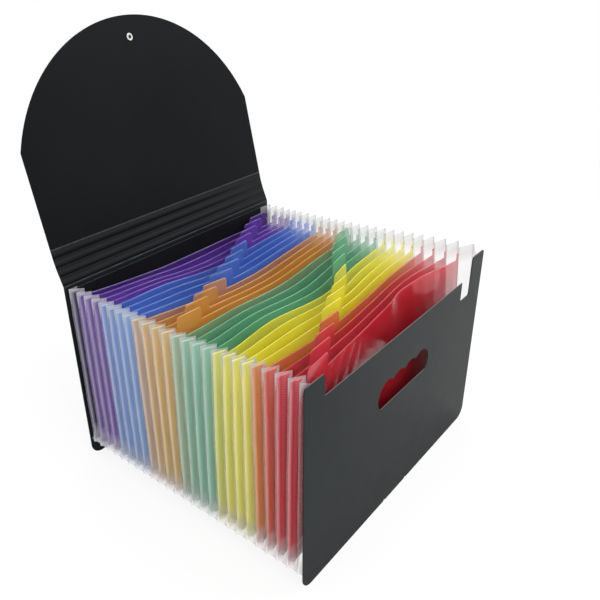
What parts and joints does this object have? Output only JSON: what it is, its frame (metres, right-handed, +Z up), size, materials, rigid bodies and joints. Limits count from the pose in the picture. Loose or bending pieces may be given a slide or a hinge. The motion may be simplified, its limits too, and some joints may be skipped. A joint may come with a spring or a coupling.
{
  "type": "accordion file folder",
  "caption": "Expanding accordion file with stiff black covers, pleated film sides, coloured tabbed dividers, a creased spine and an arched lid with button and elastic.",
  "frame": {"origin": "floor level, under the middle of the open file's bounding box", "axes": "+X to the right across the file, +Y from the front cover to the back cover, +Z up"},
  "size_m": [0.33, 0.3582, 0.4577],
  "materials": {
    "cover_black": "sand-textured satin polypropylene",
    "spine_black": "satin polypropylene with scored creases",
    "liner_black": "smooth black polypropylene",
    "film_frosted": "frosted clear film",
    "divider_purple": "translucent coloured sheet",
    "divider_blue": "translucent coloured sheet",
    "divider_orange": "translucent coloured sheet",
    "divider_green": "translucent coloured sheet",
    "divider_yellow": "translucent coloured sheet",
    "divider_red": "translucent coloured sheet",
    "button_black": "moulded, slightly glossy",
    "rivet_dark": "dark lacquered steel",
    "eyelet_nickel": "nickel plated",
    "elastic_grey": "braided elastic"
  },
  "bodies": {
    "back": {"back_cover": "cover_black", "back_liner": "liner_black", "left_gusset": "film_frosted", "right_gusset": "film_frosted", "bottom_gusset": "film_frosted"},
    "front": {"front_cover": "cover_black", "cord_anchor": "liner_black", "elastic_loop": "elastic_grey"},
    "divider_01_sheet": {"divider_01": "divider_purple"},
    "divider_02_sheet": {"divider_02": "divider_purple"},
    "divider_03_sheet": {"divider_03": "divider_purple"},
    "divider_04_sheet": {"divider_04": "divider_purple"},
    "divider_05_sheet": {"divider_05": "divider_blue"},
    "divider_06_sheet": {"divider_06": "divider_blue"},
    "divider_07_sheet": {"divider_07": "divider_blue"},
    "divider_08_sheet": {"divider_08": "divider_blue"},
    "divider_09_sheet": {"divider_09": "divider_orange"},
    "divider_10_sheet": {"divider_10": "divider_orange"},
    "divider_11_sheet": {"divider_11": "divider_orange"},
    "divider_12_sheet": {"divider_12": "divider_orange"},
    "divider_13_sheet": {"divider_13": "divider_green"},
    "divider_14_sheet": {"divider_14": "divider_green"},
    "divider_15_sheet": {"divider_15": "divider_green"},
    "divider_16_sheet": {"divider_16": "divider_green"},
    "divider_17_sheet": {"divider_17": "divider_yellow"},
    "divider_18_sheet": {"divider_18": "divider_yellow"},
    "divider_19_sheet": {"divider_19": "divider_yellow"},
    "divider_20_sheet": {"divider_20": "divider_yellow"},
    "divider_21_sheet": {"divider_21": "divider_red"},
    "divider_22_sheet": {"divider_22": "divider_red"},
    "divider_23_sheet": {"divider_23": "divider_red"},
    "divider_24_sheet": {"divider_24": "divider_red"},
    "strip_1": {"spine_strip_1": "spine_black"},
    "strip_2": {"spine_strip_2": "spine_black"},
    "strip_3": {"spine_strip_3": "spine_black"},
    "strip_4": {"spine_strip_4": "spine_black"},
    "lid": {"lid_flap": "cover_black", "rivet_eyelet": "eyelet_nickel", "button_rivet": "rivet_dark"},
    "button": {"closure_button": "button_black"}
  },
  "joints": [
    {"name": "accordion_slide", "type": "slide", "parent": "back", "child": "front", "axis": [0, 1, 0], "range_m": [0, 0.2595], "deforming": ["left_gusset", "right_gusset", "bottom_gusset"]},
    {"name": "divider_01_slide", "type": "slide", "parent": "back", "child": "divider_01_sheet", "axis": [0, 1, 0], "range_m": [0, 0.01038]},
    {"name": "divider_02_slide", "type": "slide", "parent": "back", "child": "divider_02_sheet", "axis": [0, 1, 0], "range_m": [0, 0.02076]},
    {"name": "divider_03_slide", "type": "slide", "parent": "back", "child": "divider_03_sheet", "axis": [0, 1, 0], "range_m": [0, 0.03114]},
    {"name": "divider_04_slide", "type": "slide", "parent": "back", "child": "divider_04_sheet", "axis": [0, 1, 0], "range_m": [0, 0.04152]},
    {"name": "divider_05_slide", "type": "slide", "parent": "back", "child": "divider_05_sheet", "axis": [0, 1, 0], "range_m": [0, 0.0519]},
    {"name": "divider_06_slide", "type": "slide", "parent": "back", "child": "divider_06_sheet", "axis": [0, 1, 0], "range_m": [0, 0.06228]},
    {"name": "divider_07_slide", "type": "slide", "parent": "back", "child": "divider_07_sheet", "axis": [0, 1, 0], "range_m": [0, 0.07266]},
    {"name": "divider_08_slide", "type": "slide", "parent": "back", "child": "divider_08_sheet", "axis": [0, 1, 0], "range_m": [0, 0.08304]},
    {"name": "divider_09_slide", "type": "slide", "parent": "back", "child": "divider_09_sheet", "axis": [0, 1, 0], "range_m": [0, 0.09342]},
    {"name": "divider_10_slide", "type": "slide", "parent": "back", "child": "divider_10_sheet", "axis": [0, 1, 0], "range_m": [0, 0.1038]},
    {"name": "divider_11_slide", "type": "slide", "parent": "back", "child": "divider_11_sheet", "axis": [0, 1, 0], "range_m": [0, 0.11418]},
    {"name": "divider_12_slide", "type": "slide", "parent": "back", "child": "divider_12_sheet", "axis": [0, 1, 0], "range_m": [0, 0.12456]},
    {"name": "divider_13_slide", "type": "slide", "parent": "back", "child": "divider_13_sheet", "axis": [0, 1, 0], "range_m": [0, 0.13494]},
    {"name": "divider_14_slide", "type": "slide", "parent": "back", "child": "divider_14_sheet", "axis": [0, 1, 0], "range_m": [0, 0.14532]},
    {"name": "divider_15_slide", "type": "slide", "parent": "back", "child": "divider_15_sheet", "axis": [0, 1, 0], "range_m": [0, 0.1557]},
    {"name": "divider_16_slide", "type": "slide", "parent": "back", "child": "divider_16_sheet", "axis": [0, 1, 0], "range_m": [0, 0.16608]},
    {"name": "divider_17_slide", "type": "slide", "parent": "back", "child": "divider_17_sheet", "axis": [0, 1, 0], "range_m": [0, 0.17646]},
    {"name": "divider_18_slide", "type": "slide", "parent": "back", "child": "divider_18_sheet", "axis": [0, 1, 0], "range_m": [0, 0.18684]},
    {"name": "divider_19_slide", "type": "slide", "parent": "back", "child": "divider_19_sheet", "axis": [0, 1, 0], "range_m": [0, 0.19722]},
    {"name": "divider_20_slide", "type": "slide", "parent": "back", "child": "divider_20_sheet", "axis": [0, 1, 0], "range_m": [0, 0.2076]},
    {"name": "divider_21_slide", "type": "slide", "parent": "back", "child": "divider_21_sheet", "axis": [0, 1, 0], "range_m": [0, 0.21798]},
    {"name": "divider_22_slide", "type": "slide", "parent": "back", "child": "divider_22_sheet", "axis": [0, 1, 0], "range_m": [0, 0.22836]},
    {"name": "divider_23_slide", "type": "slide", "parent": "back", "child": "divider_23_sheet", "axis": [0, 1, 0], "range_m": [0, 0.23874]},
    {"name": "divider_24_slide", "type": "slide", "parent": "back", "child": "divider_24_sheet", "axis": [0, 1, 0], "range_m": [0, 0.24912]},
    {"name": "spine_crease_1", "type": "hinge", "parent": "back", "child": "strip_1", "pos_m": [0, 0.11989, 0.216], "axis": [1, 0, 0], "range_deg": [-31, 21]},
    {"name": "spine_crease_2", "type": "hinge", "parent": "strip_1", "child": "strip_2", "pos_m": [0, 0.12356, 0.22509], "axis": [1, 0, 0], "range_deg": [-31, 21]},
    {"name": "spine_crease_3", "type": "hinge", "parent": "strip_2", "child": "strip_3", "pos_m": [0, 0.12723, 0.23417], "axis": [1, 0, 0], "range_deg": [-31, 21]},
    {"name": "spine_crease_4", "type": "hinge", "parent": "strip_3", "child": "strip_4", "pos_m": [0, 0.1301, 0.24355], "axis": [1, 0, 0], "range_deg": [-31, 21]},
    {"name": "lid_fold", "type": "hinge", "parent": "strip_4", "child": "lid", "pos_m": [0, 0.13217, 0.25312], "axis": [1, 0, 0], "range_deg": [-31, 21]},
    {"name": "button_spin", "type": "hinge", "parent": "lid", "child": "button", "pos_m": [0, 0.17169, 0.4359], "axis": [0, 0.9774, -0.2113], "continuous": true}
  ],
  "couplings": [
    {"joint": "divider_01_slide", "follows": "accordion_slide", "ratio": 0.04},
    {"joint": "divider_02_slide", "follows": "accordion_slide", "ratio": 0.08},
    {"joint": "divider_03_slide", "follows": "accordion_slide", "ratio": 0.12},
    {"joint": "divider_04_slide", "follows": "accordion_slide", "ratio": 0.16},
    {"joint": "divider_05_slide", "follows": "accordion_slide", "ratio": 0.2},
    {"joint": "divider_06_slide", "follows": "accordion_slide", "ratio": 0.24},
    {"joint": "divider_07_slide", "follows": "accordion_slide", "ratio": 0.28},
    {"joint": "divider_08_slide", "follows": "accordion_slide", "ratio": 0.32},
    {"joint": "divider_09_slide", "follows": "accordion_slide", "ratio": 0.36},
    {"joint": "divider_10_slide", "follows": "accordion_slide", "ratio": 0.4},
    {"joint": "divider_11_slide", "follows": "accordion_slide", "ratio": 0.44},
    {"joint": "divider_12_slide", "follows": "accordion_slide", "ratio": 0.48},
    {"joint": "divider_13_slide", "follows": "accordion_slide", "ratio": 0.52},
    {"joint": "divider_14_slide", "follows": "accordion_slide", "ratio": 0.56},
    {"joint": "divider_15_slide", "follows": "accordion_slide", "ratio": 0.6},
    {"joint": "divider_16_slide", "follows": "accordion_slide", "ratio": 0.64},
    {"joint": "divider_17_slide", "follows": "accordion_slide", "ratio": 0.68},
    {"joint": "divider_18_slide", "follows": "accordion_slide", "ratio": 0.72},
    {"joint": "divider_19_slide", "follows": "accordion_slide", "ratio": 0.76},
    {"joint": "divider_20_slide", "follows": "accordion_slide", "ratio": 0.8},
    {"joint": "divider_21_slide", "follows": "accordion_slide", "ratio": 0.84},
    {"joint": "divider_22_slide", "follows": "accordion_slide", "ratio": 0.88},
    {"joint": "divider_23_slide", "follows": "accordion_slide", "ratio": 0.92},
    {"joint": "divider_24_slide", "follows": "accordion_slide", "ratio": 0.96}
  ]
}
